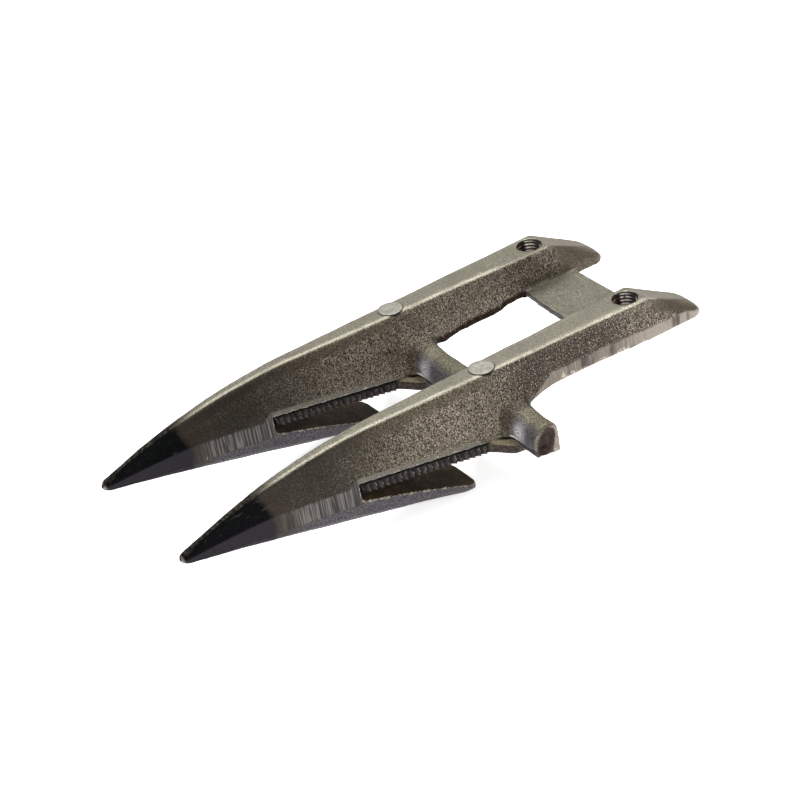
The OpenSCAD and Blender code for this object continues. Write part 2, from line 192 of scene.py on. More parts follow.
def front_section(y):
    low, mid, strip_top, strip_low = nose_heights(y)
    x = finger_x(y)
    half = flank(y, x, strip_top)
    half += [(x + STRIP_OUT, strip_top - STRIP_BEVEL), (x + STRIP_OUT, strip_low + STRIP_BEVEL), (x, strip_low)]
    half += [(0.82 * x, mix(strip_low, low, 0.62)), (0.45 * x, low), (0 * x, low)]
    small = np.sqrt(np.maximum(0, 1 - (1 - np.clip((y - TIP_Y) / TIP_R, 0, 1)) ** 2))
    return np.array([[px * small, mid + (pz - mid) * small] for px, pz in half]).transpose(2, 0, 1)


def rear_section(y):
    x, strip, foot = side_x(y), arm_strip_z(y), foot_z(y)
    half = flank(y, x, strip)
    deep = foot - 3 * smooth(y, BAR_REAR_Y, BAR_REAR_Y + 2)  # cut off again at the foot, after the blur
    half += [(x + STRIP_OUT, strip - STRIP_BEVEL), (x + STRIP_OUT, deep), (0 * x, deep)]
    return np.array([[px, pz] for px, pz in half]).transpose(2, 0, 1)


def polygon_field(poly, u, v, closed):
    """Signed distance to one polygon per slice, (k, n, 2), over a grid of u by v."""
    poly = poly.astype(np.float32)
    u = u.astype(np.float32)[None, :, None]
    v = v.astype(np.float32)[None, None, :]
    shape = (poly.shape[0], u.shape[1], v.shape[2])
    d2 = np.full(shape, 1e9, np.float32)
    inside = np.zeros(shape, bool)
    n = poly.shape[1]
    for i in range(n if closed else n - 1):
        a, b = poly[:, i], poly[:, (i + 1) % n]
        au, av = a[:, 0, None, None], a[:, 1, None, None]
        eu, ev = b[:, 0, None, None] - au, b[:, 1, None, None] - av
        wu, wv = u - au, v - av
        t = np.clip((wu * eu + wv * ev) / (eu * eu + ev * ev + 1e-9), 0, 1)
        d2 = np.minimum(d2, (wu - t * eu) ** 2 + (wv - t * ev) ** 2)
        crosses = (av > v) != (b[:, 1, None, None] > v)
        inside ^= crosses & (wu < wv * eu / np.where(np.abs(ev) < 1e-6, 1e-6, ev))
    return np.sqrt(d2) * np.where(inside, -1, 1).astype(np.float32)


def blur(f, sigma):
    """Gaussian blur of a field along its three axes, in grid steps."""
    reach = 3
    w = np.exp(-0.5 * (np.arange(-reach, reach + 1) / sigma) ** 2)
    w = (w / w.sum()).astype(np.float32)
    for axis in range(3):
        pad = [(reach, reach) if a == axis else (0, 0) for a in range(3)]
        g = np.pad(f, pad, mode="edge")
        n = f.shape[axis]
        f = sum(w[k] * np.take(g, range(k, k + n), axis=axis) for k in range(2 * reach + 1))
    return f


def smooth_union(a, b, k):
    h = np.clip(0.5 + 0.5 * (b - a) / k, 0, 1)
    return mix(b, a, h) - k * h * (1 - h)


# Noise from a fixed table of random numbers, in numpy, for shapes
TABLE = np.random.RandomState(7).rand(64, 64, 64).astype(np.float32) * 2 - 1


def noise(p, size, seed):
    q = p / size + np.array([seed * 7.31, seed * 3.77, seed * 5.13])
    i = np.floor(q).astype(int)
    f = q - i
    f = f * f * (3 - 2 * f)
    total = 0
    for dx in (0, 1):
        for dy in (0, 1):
            for dz in (0, 1):
                w = (
                    (f[:, 0] if dx else 1 - f[:, 0])
                    * (f[:, 1] if dy else 1 - f[:, 1])
                    * (f[:, 2] if dz else 1 - f[:, 2])
                )
                total = total + w * TABLE[(i[:, 0] + dx) % 64, (i[:, 1] + dy) % 64, (i[:, 2] + dz) % 64]
    return total


# The forging as a distance field on half a grid, x from the middle plane to the right ear
xs = STEP / 2 + STEP * np.arange(int(GRID_X / STEP))
ys = np.arange(TIP_Y - 2.4, TAIL_Y + 2.5, STEP)
zs = np.arange(GRID_LOW, GRID_TOP, STEP)


def finger_field():
    span = STEP * np.arange(int(FINGER_SPAN / STEP))
    near = span <= FINGER_NEAR

    def sections(section, y):
        f = polygon_field(section(y), span[near], zs, False)
        far = f[:, -1:, :] + (span[~near] - FINGER_NEAR)[None, :, None].astype(np.float32)
        return np.concatenate([f, far], axis=1)

    front = sections(front_section, np.clip(ys, TIP_Y + 0.05, LIP_END_Y))
    rear = sections(rear_section, np.clip(ys, LIP_END_Y - 8, TAIL_Y - 0.02))
    y = ys[:, None, None].astype(np.float32)
    front = np.maximum(front, TIP_Y - y)
    rear = np.maximum(rear, y - TAIL_Y)
    front, rear = blur(front, 0.8), blur(rear, 0.9)
    front = front - (0.08 + 0.20 * smooth(ys, TIP_Y + 30, TIP_Y + 2))[:, None, None].astype(np.float32)
    x = span[None, :, None].astype(np.float32)
    front = np.maximum(front, x - finger_x(ys)[:, None, None].astype(np.float32))
    rear = np.maximum(rear, x - side_x(ys)[:, None, None].astype(np.float32))
    rear = np.maximum(rear, foot_z(ys)[:, None, None].astype(np.float32) - zs[None, None, :].astype(np.float32))

    # Knife slot, seen from the side, open to the rear
    slot_rear = LIP_END_Y + 20
    profile = [(SLOT_Y + 0.5, SLOT_FLOOR_Z + 0.5), (SLOT_Y, SLOT_FLOOR_Z + 1.6)]
    profile += [(SLOT_Y, ledger_z(SLOT_Y)), (slot_rear, ledger_z(slot_rear))]
    profile += [(a, float(lip_top_z(a))) for a in np.linspace(slot_rear, SLOT_Y + 1.6, 14)]
    slot = polygon_field(np.array(profile)[None], ys, zs, True)[0][:, None, :]
    front = np.maximum(front, -slot)

    # Rounded rear end of the lip, in plan
    lip_half = float(finger_x(LIP_END_Y))
    qx = np.maximum(x - (lip_half - LIP_CORNER_R), 0)
    qy = np.maximum(y - (LIP_END_Y - LIP_CORNER_R), 0)
    lip_plan = np.sqrt(qx**2 + qy**2) - LIP_CORNER_R
    below = zs[None, None, :] < ledger_z(ys)[:, None, None] - 2
    front = np.where(below & (y > LIP_END_Y - 9), np.maximum(front, lip_plan), front)
    front = np.maximum(front, y - LIP_END_Y)
    rear = np.maximum(rear, LIP_END_Y - 4 - y)
    return np.minimum(front, rear)


def body_field():
    away = np.abs(xs - AXIS_X)
    f = finger_field()[:, np.rint(away / STEP).astype(int), :]
    x = xs[None, :, None].astype(np.float32)
    y = ys[:, None, None].astype(np.float32)
    z = zs[None, None, :].astype(np.float32)

    # Cross bar with its ears, rounded more in front than behind
    turn = np.radians(np.arange(0, 91, 10))
    fr, rr = BAR_FRONT_R, BAR_REAR_R
    bar = [(BAR_FRONT_Y, ledger_z(BAR_FRONT_Y)), (BAR_REAR_Y, ledger_z(BAR_REAR_Y))]
    bar += [(BAR_REAR_Y - rr * (1 - math.cos(a)), BAR_TOP_Z - rr * (1 - math.sin(a))) for a in turn]
    bar += [(BAR_FRONT_Y + fr * (1 - math.sin(a)), BAR_TOP_Z - fr * (1 - math.cos(a))) for a in turn]
    bar = polygon_field(np.array(bar)[None], ys, zs, True)[0]
    # Its top rises towards a finger, and its foot stays on the ledger plane
    lift = EAR_LIFT * smooth(away, 30.0, 12.0) + EAR_END_LIFT
    row = (zs[None, :] - lift[:, None] * smooth(zs, -BAR_DROP, BAR_TOP_Z - 1)[None, :] - zs[0]) / STEP
    k = np.clip(np.floor(row).astype(int), 0, len(zs) - 2)
    part = (row - k).astype(np.float32)
    bar = bar[:, k] * (1 - part) + bar[:, k + 1] * part
    bar = np.maximum(bar, x - EAR_X - 2)
    joined = smooth_union(f, bar, BAR_FILLET)
    # The forging overhangs a sunk band round the fillet and along the ear
    above = z - ledger_z(ys)[:, None, None].astype(np.float32)
    crease = crease_height(np.abs(x - AXIS_X))
    overhang = smooth(above, crease, crease + OVERHANG) * smooth(y, BAR_FRONT_Y - 14, BAR_FRONT_Y - 8)
    overhang = overhang * smooth(z, 6.0, 0.0) * smooth(crease, 0.3, 1.5)
    joined = joined - OVERHANG * overhang * smooth(y, BAR_REAR_Y, BAR_REAR_Y - 6)
    joined = np.maximum(joined, -above)
    near_bar = (y > BAR_FRONT_Y - 16) & (y < BAR_REAR_Y + 14)
    lip = above < -0.5
    f = np.where(near_bar & ~lip, joined, np.minimum(f, bar))
    # The ears' ends: rounded off on top and scooped in front
    qx = np.maximum(x - (EAR_X - EAR_END_R), 0)
    qz = np.maximum(z - (BAR_TOP_Z + EAR_END_LIFT - EAR_END_R), 0)
    end = np.sqrt(qx**2 + qz**2) - EAR_END_R - 0.4
    scoop = SCOOP_R - np.sqrt((x - SCOOP_X) ** 2 + (y - scoop_y(z)) ** 2)
    scoop = scoop - SCOOP_CLOSE * np.maximum(0, z - SCOOP_TOP) - SCOOP_CLOSE * np.maximum(0, SCOOP_FOOT - z)
    f = np.where(x > AXIS_X + 28, np.maximum(f, np.maximum(end, scoop)), f)
    # The arms stay open below their foot behind the bar
    f = np.where(y > BAR_REAR_Y + 1, np.maximum(f, np.minimum(foot_z(ys)[:, None, None], 0.4) - z), f)

    # Web between the tails
    half = AXIS_X - SEAT_W / 4
    bow_r = (half**2 + WEB_BOW**2) / (2 * WEB_BOW)
    front = -(WEB_FRONT + WEB_BOW - bow_r) - np.sqrt(np.maximum(bow_r**2 - x**2, 0))
    web = np.maximum(np.maximum(front - y, y - WEB_REAR), np.maximum(WEB_Z0 - z, z - WEB_Z1))
    web = np.maximum(web, x - half)
    f = smooth_union(f, web, WEB_FILLET)

    # Bolt holes with a small countersink
    r = np.sqrt((x - AXIS_X) ** 2 + y**2)
    hole = HOLE_R + np.maximum(0, z - (ARM_H - 0.4)) * 0.7 + np.maximum(0, 0.5 - z) * 0.9
    return np.maximum(f, hole - r)


def crease_height(away):
    """Height above the ledger plane of the crease under the overhang, by distance from a finger's axis."""
    return CREASE_H * smooth(away, 11.0, 20.0) + CREASE_END * smooth(away, 30.0, 37.0)


def scoop_y(z):
    """Where the axis of the scoop in an ear's end lies, leaning back as it rises."""
    return SCOOP_Y + SCOOP_LEAN * (z + BAR_DROP)


def arm_hang(y):
    """How far the inner foot of the left arm hangs below the right one."""
    return ARM_HANG * smooth(y, -70.0, -60.0) * smooth(y, -18.0, -32.0)


def surface_nets(f, origin, step):
    """Vertices and quads on the zero level of a field."""
    sign = f < 0
    n = np.array(f.shape)
    corners = [(a, b, c) for a in (0, 1) for b in (0, 1) for c in (0, 1)]

    def cut(g, k):
        return g[tuple(slice(o, m - 1 + o) for o, m in zip(k, n))]

    count = sum(cut(sign, k).astype(np.int8) for k in corners)
    active = (count > 0) & (count < 8)
    cells = np.argwhere(active)
    number = np.full(active.shape, -1, np.int64)
    number[tuple(cells.T)] = np.arange(len(cells))
    total = np.zeros((len(cells), 3))
    hits = np.zeros(len(cells))
    for k in corners:
        for axis in range(3):
            if k[axis]:
                continue
            k2 = tuple(o + (a == axis) for a, o in enumerate(k))
            a = f[tuple((cells + k).T)]
            b = f[tuple((cells + k2).T)]
            on = (a < 0) != (b < 0)
            t = np.where(on, a / np.where(on, a - b, 1), 0)
            p = np.tile(np.array(k, float), (len(cells), 1))
            p[:, axis] = t
            total[on] += p[on]
            hits += on
    verts = origin + step * (cells + total / hits[:, None])
    quads = []
    for axis in range(3):
        u, v = (axis + 1) % 3, (axis + 2) % 3
        lo_, hi_ = [slice(None)] * 3, [slice(None)] * 3
        lo_[axis], hi_[axis] = slice(0, n[axis] - 1), slice(1, n[axis])
        change = sign[tuple(lo_)] != sign[tuple(hi_)]
        e = np.argwhere(change)
        e = e[(e[:, u] > 0) & (e[:, v] > 0) & (e[:, u] < n[u] - 1) & (e[:, v] < n[v] - 1)]
        du, dv = np.eye(3, dtype=int)[u], np.eye(3, dtype=int)[v]
        q = np.stack([number[tuple((e - s).T)] for s in (0 * du, du, du + dv, dv)], axis=1)
        out = sign[tuple(e.T)]
        quads.append(np.where(out[:, None], q, q[:, ::-1]))
    return verts, np.concatenate(quads)


def make_mesh(name, verts, faces):
    me = bpy.data.meshes.new(name)
    me.from_pydata([tuple(v) for v in np.asarray(verts) * MM], [], [tuple(f) for f in faces])
    me.update()
    ob = bpy.data.objects.new(name, me)
    bpy.context.scene.collection.objects.link(ob)
    me.polygons.foreach_set("use_smooth", np.ones(len(me.polygons), bool))
    return ob


def read_mesh(me):
    co = np.zeros(len(me.vertices) * 3, np.float32)
    me.vertices.foreach_get("co", co)
    no = np.zeros(len(me.vertices) * 3, np.float32)
    me.vertex_normals.foreach_get("vector", no)
    return co.reshape(-1, 3).astype(float) / MM, no.reshape(-1, 3).astype(float)


def add_attribute(ob, name, values):
    a = ob.data.attributes.new(name, "FLOAT", "POINT")
    a.data.foreach_set("value", np.asarray(values, np.float32))


def zones(co, no):
    """Masks over the forging, from where a point lies on its section."""
    x, y, z = co.T
    away = np.abs(np.abs(x) - AXIS_X)
    yc = np.clip(y, TIP_Y + 0.1, TAIL_Y - 0.1)
    yf, yr = np.minimum(yc, LIP_END_Y), np.maximum(yc, LIP_END_Y)
    *_, strip_top, strip_low = nose_heights(yf)
    ahead = y < LIP_END_Y
    above = z - ledger_z(y)
    at_bar = smooth(y, BAR_FRONT_Y - 16, BAR_FRONT_Y - 10) * smooth(y, BAR_REAR_Y + 7, BAR_REAR_Y + 3)
    outside = smooth(away, 12.0, 13.5)

    # Trimmed strips: nose, above the plate, and along the seat
    on_side = smooth(np.abs(away - side_x(yc)), 1.3, 0.6)
    ragged = 0.7 * noise(co, 9.0, 12) + 0.6 * noise(co, 3.0, 13)
    band_top = np.where(ahead, strip_top, arm_strip_z(yr) + ragged * (y > BAR_REAR_Y))
    band_low = np.where(ahead, strip_low, foot_z(yr) - 1)
    strip = on_side * smooth(z, band_top + 0.5, band_top - 0.3) * smooth(z, band_low - 0.5, band_low + 0.3)
    on_lip = (y > SLOT_Y - 0.5) & (y < LIP_END_Y + 1) & (above < -2)
    outer = smooth(np.abs(x), AXIS_X, AXIS_X + 3)
    strip = strip * (1 - at_bar) * ~on_lip * np.where(y > BAR_REAR_Y, outer, 1)

    # Flat tops
    on_web = (np.abs(x) < AXIS_X - 9) & (y > -16) & (y < 19)
    crest = smooth(no[:, 2], 0.72, 0.93) * smooth(z, crest_z(yc) - 3.0, crest_z(yc) - 1.5)
    crest = np.maximum(crest, on_web * smooth(no[:, 2], 0.3, 0.8))

    # Rim of the crest, partly worn and partly a painted highlight, and the smooth shoulder below it
    rim_w = np.clip(0.17 * crest_x(yc), 0.6, 1.3)
    rim = np.exp(-(((away - crest_x(yc)) / rim_w + 0.4) ** 2)) * smooth(z, crest_z(yc) - 2.8, crest_z(yc) - 1.4)
    shoulder = smooth(away, crest_x(yc) + 0.9, crest_x(yc) + 1.8) * smooth(z, crest_z(yc) - 6.5, crest_z(yc) - 3.5)
    shoulder = shoulder * smooth(y, TIP_Y + 36, TIP_Y + 48) * smooth(y, -72.0, -94.0) * (away < 15)
    rim = rim * smooth(y, TIP_Y + 40, TIP_Y + 52) * smooth(y, 16.0, 8.0)
    rim = rim * (1 - smooth(y, -26.0, -18.0) * (np.abs(x) < AXIS_X))
    # Painted highlight: the rim keeps full strength on each finger's +x side and only a quarter on the other
    rim = rim * np.where(x > np.sign(x) * AXIS_X, 1.0, 0.25)

    # Knife slot, lip and underside
    in_slot = ahead & (y > SLOT_Y - 0.6) & (above < 0.3) & (z > lip_top_z(y) - 0.5) & (away < finger_x(yf) - 0.5)
    lip_face = on_lip & (no[:, 2] > 0.6)
    slot = np.maximum(in_slot, lip_face).astype(float)
    under = np.maximum(ahead & (z < strip_low - 0.2), on_lip & ~lip_face) * (1 - slot)

    # Ears: wing, sunk band, crease, scooped end and worn patch
    wing = smooth(away, 18.0, 22.5) * ((y > BAR_FRONT_Y - 6) & (y < BAR_REAR_Y + 4))
    crease_at = crease_height(away)
    front = outside * at_bar * smooth(y, BAR_REAR_Y - 3, BAR_REAR_Y - 6) * smooth(away, 36.6, 35.8)
    sunk = front * smooth(above, crease_at + 0.4, crease_at)
    front = front * smooth(crease_at, 0.2, 0.9)
    brow = wing * smooth(-no[:, 1], 0.35, 0.75)
    facet = smooth(away, 36.0, 36.8) * smooth(np.abs(no[:, 0]), 0.6, 0.9)
    scoop_r = np.hypot(np.abs(x) - SCOOP_X, y - scoop_y(z)) + SCOOP_CLOSE * np.maximum(0, z - SCOOP_TOP)
    scoop = smooth(scoop_r, SCOOP_R + 1.1, SCOOP_R + 0.5) * (y < BAR_REAR_Y) * (away > 30)
    facet = facet * (1 - scoop) * smooth(y - scoop_y(z), 1.0, 2.5)
    patch = 1.7 * np.exp(-(((away - 25.0) / 3.4) ** 2) - ((y + 82.0) / 4.0) ** 2 - ((z + 3.4) / 3.4) ** 2)
    patch = np.minimum(patch, 1)

    # Torn lower edge on the inner side of one arm, the front face of the web, and the tails
    torn = (x < 0) & (x > -AXIS_X) & (away < side_x(yc) + 1.6) & (y > BAR_REAR_Y + 1) & (y < -WEB_FRONT - 0.5)
    torn = torn * smooth(z - foot_z(yr) + arm_hang(y), 3.5, 3.1)
    web_edge = (np.abs(x) < AXIS_X - 9) & (y < -8) & (y > -18) & (no[:, 1] < -0.45)
    tail = smooth(y, 7.0, 12.0) * np.maximum(smooth(z, crest_z(yc) - 7, crest_z(yc) - 4.5), np.abs(x) < AXIS_X)
    found = {"strip": strip, "crest": crest, "slot": slot, "under": under, "wing": wing, "sunk": sunk}
    found |= {"front": front, "scoop": scoop, "patch": patch, "torn": torn, "web_edge": web_edge, "tail": tail}
    found |= {"rim": rim, "shoulder": shoulder, "brow": brow, "facet": facet}
    return found


def curvature(me, co, no, rounds):
    """Convexity at each vertex: positive on edges, negative in creases."""
    e = np.zeros(len(me.edges) * 2, np.int32)
    me.edges.foreach_get("vertices", e)
    e = e.reshape(-1, 2)
    deg = np.bincount(e.ravel(), minlength=len(co)).astype(float)
    deg[deg == 0] = 1

    def spread(v):
        out = np.zeros_like(v)
        for k in range(v.shape[1]):
            out[:, k] = np.bincount(e[:, 0], v[e[:, 1], k], len(co)) + np.bincount(e[:, 1], v[e[:, 0], k], len(co))
        return out / deg[:, None]

    mean = co
    for _ in range(rounds):
        mean = 0.5 * mean + 0.5 * spread(mean)
    return np.einsum("ij,ij->i", co - mean, no)


def build_forging():
    half = body_field().transpose(1, 0, 2)
    field = np.concatenate([half[::-1], half], axis=0)
    origin = np.array([-xs[-1], ys[0], zs[0]])
    verts, quads = surface_nets(field, origin, STEP)
    ob = make_mesh("forging", verts, quads)
    me = ob.data

    # Hammered scale and waviness, pressed into the surface
    co, no = read_mesh(me)
    m = zones(co, no)
    plain = 1 - np.maximum.reduce([0.75 * m["crest"], 0.9 * m["strip"], 0.5 * m["slot"], 0.4 * m["under"]])
    grain = 0.09 * noise(co, 1.9, 1) + 0.07 * noise(co, 3.7, 2)
    wave = 0.10 * noise(co, 9.0, 3) + 0.14 * noise(co, 24.0, 4)
    streaks = noise(co * np.array([1, 1, 0.06]), 1.5, 5) * 0.04 + noise(co * np.array([1, 1, 0.08]), 4.2, 6) * 0.03
    press = grain * plain + wave * (1 - 0.6 * m["strip"]) + streaks * m["strip"]
    calm = smooth(np.hypot(np.abs(co[:, 0]) - AXIS_X, co[:, 1] - RIVET_Y), 7.0, 11.0)
    co = co + no * (press * np.where(co[:, 2] > ARM_H - 2, calm, 1))[:, None]
    ragged = smooth(co[:, 1], -52.0, -44.0) * (0.2 + 0.7 * np.maximum(0, noise(co, 2.6, 8)))
    foot = foot_z(np.clip(co[:, 1], LIP_END_Y, TAIL_Y - 0.1))
    inner = smooth(co[:, 0], -AXIS_X, 5 - AXIS_X) * (co[:, 0] < 0) * (co[:, 1] > BAR_REAR_Y)
    co[:, 2] -= m["torn"] * ragged + inner * arm_hang(co[:, 1]) * smooth(co[:, 2], foot + 10, foot + 1)
    # The left ear is forged a little lower than the right one
    left_ear = smooth(-co[:, 0], 54.0, 66.0) * smooth(co[:, 1], -60.0, -66.0)
    co[:, 2] -= LEFT_EAR_DROP * left_ear * smooth(co[:, 2], -8.0, 1.0)
    me.vertices.foreach_set("co", (co * MM).astype(np.float32).ravel())
    me.update()

    dec = ob.modifiers.new("lighter", "DECIMATE")
    dec.ratio = min(1.0, MOST_TRIS / (2 * len(quads)))
    deps = bpy.context.evaluated_depsgraph_get()
    lighter = bpy.data.meshes.new_from_object(ob.evaluated_get(deps))
    ob.modifiers.clear()
    ob.data = lighter
    lighter.name = "forging"
    lighter.polygons.foreach_set("use_smooth", np.ones(len(lighter.polygons), bool))
    bpy.data.meshes.remove(me)

    co, no = read_mesh(lighter)
    for name, values in zones(co, no).items():
        add_attribute(ob, name, values)
    add_attribute(ob, "bend", curvature(lighter, co, no, 5))
    add_attribute(ob, "bend_wide", curvature(lighter, co, no, 24))
    return ob


def loft(name, rings):
    """Closed mesh over a row of closed rings, each (n, 3)."""
    n = len(rings[0])
    verts = np.concatenate(rings)
    faces = []
    for k in range(len(rings) - 1):
        for i in range(n):
            a, b = k * n + i, k * n + (i + 1) % n
            faces.append((a, b, b + n, a + n))
    faces.append(tuple(range(n - 1, -1, -1)))
    faces.append(tuple((len(rings) - 1) * n + i for i in range(n)))
    return make_mesh(name, verts, faces)


def on_ledger(u, v, w):
    """Ledger-plane coordinates to the part's frame: v along the finger, w out of the plane."""
    y = BAR_FRONT_Y + v * COS_LEDGER + w * SIN_LEDGER
    z = -BAR_DROP - v * SIN_LEDGER + w * COS_LEDGER
    return np.stack([u, y, z], axis=-1)


def ledger_plate(name, side):
    """One serrated plate: slanted saw teeth in front, a smooth flare behind, bevelled towards the body."""
    front = (SLOT_Y + 0.3 - BAR_FRONT_Y) / COS_LEDGER + LEDGER_T * TAN_LEDGER
    rear = (BAR_FRONT_Y - BAR_REAR_Y + 1.5) / -COS_LEDGER
    toothed = np.arange(front, TEETH_END + 3.2, TOOTH_PITCH / 12)
    vs = np.concatenate([toothed, np.linspace(TEETH_END + 3.4, rear, 48)])
    ws = np.concatenate([[0, -LEDGER_RELIEF + 0.1], np.linspace(-LEDGER_RELIEF, -LEDGER_T, 10)])
    rng = np.random.RandomState(11 + side)
    size = 1 + 0.3 * (rng.rand(TEETH) - 0.5)
    rings = []
    for v in vs:
        y = BAR_FRONT_Y + v * COS_LEDGER
        base = float(finger_x(min(y, BAR_FRONT_Y))) + TOOTH_OUT
        wide = float(smooth(v, TEETH_END, 1.0))
        nose = math.sqrt(min(1.0, (v - front + 0.4) / 3.0))
        right, left = [], []
        for j, w in enumerate(ws):
            lean = v + TOOTH_LEAN * (w + LEDGER_RELIEF)
            k = (TEETH_END - lean) / TOOTH_PITCH
            i, f = int(math.floor(k)), k - math.floor(k)
            saw = 1 - f / (1 - TOOTH_BACK) if f < 1 - TOOTH_BACK else (f - 1 + TOOTH_BACK) / TOOTH_BACK
            depth = TOOTH_DEPTH * size[i % TEETH] * float(smooth(k, -0.2, 0.3))
            bevel = 0.5 * ramp(w, -LEDGER_T, -LEDGER_RELIEF)
            u = base - depth * (1 - saw) - bevel if j > 1 else base - TOOTH_OUT - TOOTH_DEPTH
            flare = PLATE_REAR_W / 2 + PLATE_FLARE - (0.5 * ramp(w, -2.6, -LEDGER_RELIEF) if j > 1 else 3.0)
            u = mix(u, flare, wide) * (0.6 + 0.4 * nose)
            u -= 0.3 if j == len(ws) - 1 else 0
            right.append((u, v, w))
            left.append((-u, v, w))
        rings.append(np.array(right + left[::-1]))
    rings = [on_ledger(r[:, 0], r[:, 1], r[:, 2]) + np.array([side * AXIS_X, 0, 0]) for r in rings]
    return loft(name, [r[::-1] for r in rings])


def lathe(name, profile, centre, steps, wobble):
    """Closed turned mesh from (r, z) points, the first and last on the axis."""
    angle = np.linspace(0, 2 * math.pi, steps, endpoint=False)
    verts, faces = [(0, 0, profile[0][1])], []
    for r, z in profile[1:-1]:
        for a in angle:
            verts.append((r * math.cos(a), r * math.sin(a), z))
    verts.append((0, 0, profile[-1][1]))
    n, rows = steps, len(profile) - 2
    for i in range(n):
        j = (i + 1) % n
        faces.append((0, 1 + j, 1 + i))
        for k in range(rows - 1):
            a, b = 1 + k * n, 1 + (k + 1) * n
            faces.append((a + i, a + j, b + j, b + i))
        last = 1 + (rows - 1) * n
        faces.append((last + i, last + j, len(verts) - 1))
    verts = np.array(verts, float)
    verts[:, 2] += wobble * noise(verts + np.array(centre), 2.3, 9) * (verts[:, 2] > -1)
    return make_mesh(name, verts + np.array(centre), faces)


def rivet(name, side):
    foot = float(ledger_z(RIVET_Y)) - LEDGER_T - ARM_H
    profile = [(0, foot - 0.12), (5.4, foot - 0.12), (5.8, foot + 0.05), (SHANK_R, foot + 2.2), (SHANK_R, 0.0)]
    profile += [(5.9, 0.0), (6.0, 0.06), (6.05, 0.2), (5.95, 0.34), (5.6, 0.42), (5.0, 0.45)]
    profile += [(4.0, 0.46), (3.0, 0.44), (2.0, 0.42), (1.0, 0.4), (0, 0.4)]
    return lathe(name, profile, (side * AXIS_X, RIVET_Y, ARM_H), 72, 0.06)


def thread(name, side):
    """Threaded wall of a bolt hole, a helix cut outwards from the tapping size."""
    steps, rows = 72, 150
    angle = np.linspace(0, 2 * math.pi, steps, endpoint=False)
    heights = np.linspace(0.3, ARM_H - 0.25, rows)
    rings = []
    for z in heights:
        f = (z / THREAD_PITCH - angle / (2 * math.pi)) % 1.0
        tri = np.clip(np.abs(f - 0.5) * 2.6 - 0.25, 0, 1)
        fade = max(ramp(z, ARM_H - 1.5, ARM_H - 0.25), ramp(z, 1.3, 0.3))
        r = mix(THREAD_CREST_R + THREAD_DEPTH * tri, THREAD_END_R, 0.8 * fade)
        rings.append(np.stack([r * np.cos(angle), r * np.sin(angle), np.full(steps, z)], axis=1))
    wall_x, wall_y = THREAD_WALL_R * np.cos(angle), THREAD_WALL_R * np.sin(angle)
    for z in (heights[-1], heights[0]):
        rings.append(np.stack([wall_x, wall_y, np.full(steps, z)], axis=1))
    verts = np.concatenate(rings) + np.array([side * AXIS_X, 0, 0])
    faces = []
    for k in range(len(rings)):
        k2 = (k + 1) % len(rings)
        for i in range(steps):
            j = (i + 1) % steps
            faces.append((k * steps + i, k2 * steps + i, k2 * steps + j, k * steps + j))
    return make_mesh(name, verts, faces)


# Finishes
FORGING_ZONES = (
    "strip", "crest", "rim", "shoulder", "slot", "under", "wing", "brow",
    "facet", "sunk", "front", "scoop", "patch", "torn", "web_edge", "tail",
)


def linear(r, g, b):
    c = np.array([r, g, b]) / 255.0
    c = np.where(c <= 0.04045, c / 12.92, ((c + 0.055) / 1.055) ** 2.4)
    return (float(c[0]), float(c[1]), float(c[2]), 1.0)


